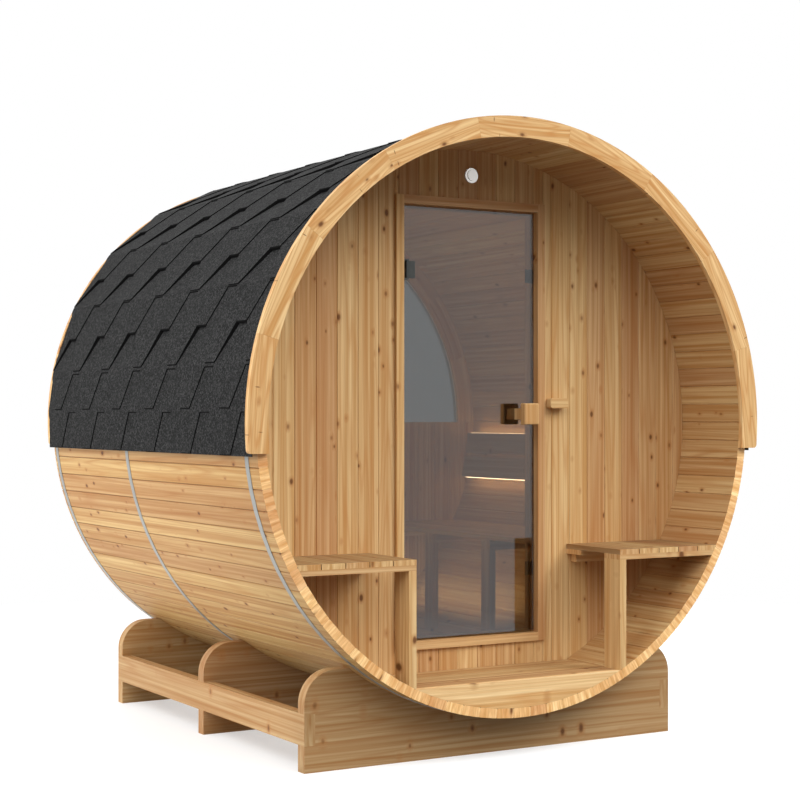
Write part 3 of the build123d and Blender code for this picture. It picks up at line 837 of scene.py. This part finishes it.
class Strip:
    """Flat strip of the roof between two angles up from the horizontal, on the side -1 or 1.

    Its foot lies a number of layers over the top of the strip below.
    """

    def __init__(self, side, foot_angle, top_angle, layers):
        self.side = side
        foot = math.radians(foot_angle)
        top = math.radians(top_angle)
        foot_radius = STRIP_TOP_R + layers * LAYER
        self.foot = Vector((foot_radius * math.cos(foot), foot_radius * math.sin(foot)))
        rise = Vector((STRIP_TOP_R * math.cos(top), STRIP_TOP_R * math.sin(top))) - self.foot
        self.length = rise.length
        self.up = rise.normalized()
        self.out = Vector((self.up[1], -self.up[0]))

    def point(self, along, up, out):
        spot = self.foot + up * self.up + out * self.out
        return (self.side * spot[0], along, AXIS_Z + spot[1])


def clipped(line):
    """The part of a line of (along, up) points that lies on the roof's length."""
    kept = []
    for (start, start_up), (end, end_up) in zip(line, line[1:]):
        low = max(start, FRONT_Y)
        high = min(end, REAR_Y)
        if high - low < TINY:
            continue
        for along in (low, high):
            up = start_up + (end_up - start_up) * (along - start) / (end - start)
            if not kept or along - kept[-1][0] > TINY:
                kept.append((along, up))
    return kept


def comb(foot, notch_top, top, first_notch, rise=0.0, widening=0.0):
    """Outline (along, up) of a sheet with notches between the tabs in its foot, all but its top raised.

    The notches widen at the rear end of their top.
    """
    count = math.ceil((REAR_Y - FRONT_Y) / TAB_PITCH) + 2
    foot_reach = (TAB_PITCH - TAB_FOOT) / 2
    lean = rise * (foot_reach - NOTCH_TOP / 2) / (notch_top - foot)
    line = []
    for index in range(-1, count):
        middle = FRONT_Y + first_notch + index * TAB_PITCH
        line.append((middle - foot_reach + lean, foot + rise))
        line.append((middle - NOTCH_TOP / 2 + lean, notch_top + rise))
        line.append((middle + NOTCH_TOP / 2 + widening, notch_top + rise))
        line.append((middle + foot_reach, foot + rise))
    return clipped(line) + [(REAR_Y, top), (FRONT_Y, top)]


def sheet(pieces, strip, low_outline, high_outline, upper, lower):
    """Closed sheet between two outlines on a strip, and between two functions from up to out."""
    low_ring = [strip.point(along, up, lower(up)) for along, up in low_outline]
    high_ring = [strip.point(along, up, upper(up)) for along, up in high_outline]
    pieces.prism(low_ring, high_ring, side_finish=EDGE_FINISH)


def tab_sheet(pieces, strip, foot, notch_top, top, first_notch, upper, lower, widening=0.0):
    """Sheet of tabs whose cut edges slope."""
    low_outline = comb(foot, notch_top, top, first_notch)
    high_outline = comb(foot, notch_top, top, first_notch, TAB_BEVEL, widening)
    sheet(pieces, strip, low_outline, high_outline, upper, lower)


def full_sheet(pieces, strip, foot, top, upper, lower):
    """Closed sheet over the whole length of the roof."""
    outline = [(FRONT_Y, foot), (REAR_Y, foot), (REAR_Y, top), (FRONT_Y, top)]
    sheet(pieces, strip, outline, outline, upper, lower)


def eaves_strip(pieces, side, foot_angle, top_angle):
    """One course of tabs on a plain sheet."""
    strip = Strip(side, foot_angle, top_angle, 1)
    course = strip.length * COURSE_ANGLE / (top_angle - foot_angle)
    tab_sheet(pieces, strip, 0.0, course, strip.length, EVEN_NOTCH, lambda up: 0.0, lambda up: -SHEET)
    full_sheet(pieces, strip, 0.0, strip.length, lambda up: -LAYER, lambda up: -LAYER - SHEET)


def double_strip(pieces, side, foot_angle, top_angle, layers):
    """Two courses of tabs: thick ones over sloping notches, then thin ones on top of their sheet."""
    strip = Strip(side, foot_angle, top_angle, layers)
    course = strip.length * COURSE_ANGLE / (top_angle - foot_angle)

    def notch_floor(up):
        return -SHEET - NOTCH_FLOOR_DROP * up / course

    tab_sheet(
        pieces, strip, 0.0, course, strip.length, ODD_NOTCH,
        lambda up: 0.0, notch_floor, NOTCH_WIDENING,
    )
    full_sheet(
        pieces, strip, 0.0, course + NOTCH_SKIN,
        lambda up: notch_floor(up) - SKIN_CLEAR, lambda up: notch_floor(up) - NOTCH_SKIN,
    )
    second_top = min(2 * course, strip.length) - TAB_BEVEL - NOTCH_SKIN
    top = strip.length - SKIN_CLEAR
    tab_sheet(pieces, strip, course, second_top, top, EVEN_NOTCH, lambda up: LAYER, lambda up: SKIN_CLEAR)


def roof_side(side, name):
    """All strips on one side of the roof."""
    pieces = Pieces(name)
    for foot_angle, top_angle in EAVES_STRIPS:
        eaves_strip(pieces, side, foot_angle, top_angle)
    for index, (foot_angle, top_angle) in enumerate(DOUBLE_STRIPS):
        double_strip(pieces, side, foot_angle, top_angle, 2 if index else 1)
    pieces.build(name, [granules, black_edge_and_shade], "roof_bitumen", "roof_shingles")


def ridge_sheet(pieces, radius, angle, front, back, thickness, step=0.0):
    """Sheet bent over the ridge down to an angle on both sides, its front end a step higher."""
    reach = radius * math.cos(math.radians(angle))
    edge = radius * math.sin(math.radians(angle))
    section = ((-reach, edge), (0.0, radius), (reach, edge))
    rings = []
    for lift in (0.0, thickness):
        ring = [(x, front, AXIS_Z + z + step + lift) for x, z in section]
        ring += [(x, back, AXIS_Z + z + lift) for x, z in reversed(section)]
        rings.append(ring)
    pieces.bent_cap(*rings)


def ridge():
    """Overlapping caps bent over the ridge, each over the one in front, on a bed between the strips."""
    pieces = Pieces("ridge_caps")
    exposure = (REAR_Y - FRONT_Y) / RIDGE_CAPS
    for index in range(RIDGE_CAPS):
        front = FRONT_Y + index * exposure
        back = min(front + exposure + RIDGE_LAP, REAR_Y)
        ridge_sheet(pieces, RIDGE_R, RIDGE_ANGLE, front, back, SHEET, RIDGE_STEP)
    ridge_sheet(pieces, STRIP_TOP_R - RIDGE_BED_DROP, STRIP_END, FRONT_Y, REAR_Y, RIDGE_BED)
    pieces.build("ridge_caps", [granules, black_edge_and_shade], "roof_bitumen", "roof_shingles")


roof_side(-1, "shingles_left")
roof_side(1, "shingles_right")
ridge()


# Studio: the camera, gloss and glass see plain white, and all other rays a bright band of sky half-way up
SKY = 3.0
SKY_START = 0.16
SKY_FULL = 0.55
SKY_FADE = 0.76
SKY_END = 0.9

# Floor: share that shadows darken, bounce of the bare floor and of a pale card on the left, and distances
FLOOR_SHARE = 0.55
FLOOR_BOUNCE = 0.1
CARD_BOUNCE = 0.95
CARD_EDGE = -0.75
FADE_START = 2.4
FADE_END = 4.6
FLOOR_SIZE = 60.0

# Lamps: powers in watts, angles in degrees, the rest in metres
PORCH = (0.0, FRONT_Y, AXIS_Z)
LAMP_DISTANCE = 7.0
LAMP_SIZE = 3.0
KEY_POWER = 205.0
KEY_AZIMUTH, KEY_ELEVATION = 50.0, 40.0
SIDE_POWER = 118.0
SIDE_AZIMUTH, SIDE_ELEVATION = -80.0, 5.0
VENT = ((VENT_LOW[0] + VENT_HIGH[0]) / 2, VENT_LOW[1], (VENT_LOW[2] + VENT_HIGH[2]) / 2)
VENT_RADIUS = (VENT_HIGH[0] - VENT_LOW[0]) / 2
VENT_LAMP = (VENT[0], FRONT_Y - 0.6, VENT[2])
VENT_POWER = 20.0
WARM = (1.0, 0.8, 0.55)
CABIN_Y = CABIN_LOW[1] + 0.7
CABIN_LAMP = (-0.3, CABIN_Y, AXIS_Z)
CABIN_TARGET = (0.7, CABIN_Y, AXIS_Z + 0.7)
CABIN_LAMP_SIZE = 0.5
CABIN_POWER = 6.0
BENCH_Y = CABIN_LOW[1] + 0.95
BENCH_Z = (CABIN_LOW[2] + SLATS_LOW[2]) / 2
BENCH_LAMP = (0.5, BENCH_Y, BENCH_Z)
BENCH_TARGET = (1.0, BENCH_Y, BENCH_Z)
BENCH_LAMP_SIZE = 0.8
BENCH_LAMP_HEIGHT_SHARE = 0.15
BENCH_POWER = 1.2


def seen_rays(shader):
    """1 for rays from the camera, from gloss and through glass, else 0."""
    rays = shader.add("ShaderNodeLightPath")
    seen = shader.math("MAXIMUM", rays.outputs["Is Camera Ray"], rays.outputs["Is Glossy Ray"])
    return shader.math("MAXIMUM", seen, rays.outputs["Is Transmission Ray"])


def floor_finish():
    """Pale floor that keeps the shadow near the object and is plain white further out."""
    shader = Shader("studio_floor")
    seen = seen_rays(shader)
    x, y, _ = shader.split(shader.place())
    square = shader.math("ADD", shader.math("POWER", x, 2.0), shader.math("POWER", y, 2.0))
    fade = shader.spread(shader.math("SQRT", square), FADE_START, FADE_END)
    pale = shader.add("ShaderNodeBsdfDiffuse")
    pale.inputs["Color"].default_value = (FLOOR_SHARE, FLOOR_SHARE, FLOOR_SHARE, 1.0)
    glow = shader.add("ShaderNodeEmission")
    glow.inputs["Strength"].default_value = 1.0 - FLOOR_SHARE
    near = shader.add("ShaderNodeAddShader")
    white = shader.add("ShaderNodeEmission")
    shown = shader.add("ShaderNodeMixShader")
    bounce = shader.add("ShaderNodeBsdfDiffuse")
    card = shader.math("LESS_THAN", x, CARD_EDGE)
    card = shader.math("MULTIPLY", card, shader.math("GREATER_THAN", y, CARD_EDGE))
    level = shader.spread(card, 0.0, 1.0, FLOOR_BOUNCE, CARD_BOUNCE)
    shader.put(shader.combine(level, level, level), bounce.inputs["Color"])
    whole = shader.add("ShaderNodeMixShader")
    shader.put(pale.outputs[0], near.inputs[0])
    shader.put(glow.outputs[0], near.inputs[1])
    shader.put(fade, shown.inputs[0])
    shader.put(near.outputs[0], shown.inputs[1])
    shader.put(white.outputs[0], shown.inputs[2])
    shader.put(seen, whole.inputs[0])
    shader.put(bounce.outputs[0], whole.inputs[1])
    shader.put(shown.outputs[0], whole.inputs[2])
    shader.put(whole.outputs[0], shader.tree.nodes["Material Output"].inputs["Surface"])
    shader.tree.nodes.remove(shader.surface)
    return shader.material


def studio():
    """Pale floor and white surroundings."""
    bpy.ops.mesh.primitive_plane_add(size=FLOOR_SIZE, location=(0.0, 0.0, 0.0))
    floor = bpy.context.object
    floor.name = "studio_floor"
    floor.data.materials.append(floor_finish())
    world = bpy.data.worlds.new("studio_world")
    world.use_nodes = True
    bpy.context.scene.world = world
    shader = NodeTree(world.node_tree)
    background = world.node_tree.nodes["Background"]
    background.inputs["Color"].default_value = (1.0, 1.0, 1.0, 1.0)
    height = shader.split(shader.add("ShaderNodeTexCoord").outputs["Generated"])[2]
    rise = shader.spread(height, SKY_START, SKY_FULL, 0.0, SKY)
    fade = shader.spread(height, SKY_FADE, SKY_END, 1.0, 0.0)
    sky = shader.math("MULTIPLY", rise, fade)
    strength = shader.spread(seen_rays(shader), 0.0, 1.0, sky, 1.0)
    shader.put(strength, background.inputs["Strength"])


def area_lamp(name, place, target, size, power, colour=(1.0, 1.0, 1.0), height_share=1.0):
    """Soft lamp aimed at a point, as wide as its size and a share of that high."""
    data = bpy.data.lights.new(name, "AREA")
    data.shape = "RECTANGLE"
    data.size = size
    data.size_y = size * height_share
    data.energy = power
    data.color = colour
    aim_lamp(data, place, target)


def aim_lamp(data, place, target):
    """Put a lamp at a place, aimed at a point and not seen itself."""
    lamp = bpy.data.objects.new(data.name, data)
    lamp.location = place
    lamp.rotation_euler = (Vector(target) - Vector(place)).to_track_quat("-Z", "Y").to_euler()
    lamp.visible_camera = False
    lamp.visible_glossy = False
    lamp.visible_transmission = False
    bpy.context.scene.collection.objects.link(lamp)


def spot_lamp(name, place, target, radius, power):
    """Narrow lamp that lights a disc of a given radius."""
    data = bpy.data.lights.new(name, "SPOT")
    data.energy = power
    data.shadow_soft_size = 0.0
    data.spot_blend = 0.1
    data.spot_size = 2 * math.atan(radius / (Vector(target) - Vector(place)).length)
    aim_lamp(data, place, target)


def lamp_place(azimuth, elevation):
    """Place of a lamp round the porch: azimuth to the right of straight ahead, elevation up from level."""
    turn = math.radians(azimuth)
    lift = math.radians(elevation)
    return (
        PORCH[0] + LAMP_DISTANCE * math.cos(lift) * math.sin(turn),
        PORCH[1] - LAMP_DISTANCE * math.cos(lift) * math.cos(turn),
        PORCH[2] + LAMP_DISTANCE * math.sin(lift),
    )


def camera():
    """Camera at the viewing angle of the picture."""
    data = bpy.data.cameras.new("camera")
    data.sensor_width = SENSOR
    data.lens = LENS
    data.shift_y = SHIFT_UP
    eye = bpy.data.objects.new("camera", data)
    eye.location = CAMERA_PLACE
    eye.rotation_euler = (math.pi / 2, 0.0, -CAMERA_YAW)
    bpy.context.scene.collection.objects.link(eye)
    bpy.context.scene.camera = eye


studio()
area_lamp("key", lamp_place(KEY_AZIMUTH, KEY_ELEVATION), PORCH, LAMP_SIZE, KEY_POWER)
area_lamp("side_fill", lamp_place(SIDE_AZIMUTH, SIDE_ELEVATION), PORCH, LAMP_SIZE, SIDE_POWER)
spot_lamp("vent_spot", VENT_LAMP, VENT, VENT_RADIUS, VENT_POWER)
area_lamp("cabin_lamp", CABIN_LAMP, CABIN_TARGET, CABIN_LAMP_SIZE, CABIN_POWER, WARM)
area_lamp(
    "bench_lamp", BENCH_LAMP, BENCH_TARGET, BENCH_LAMP_SIZE, BENCH_POWER, WARM, BENCH_LAMP_HEIGHT_SHARE,
)
camera()

bpy.context.scene.view_settings.view_transform = "Standard"
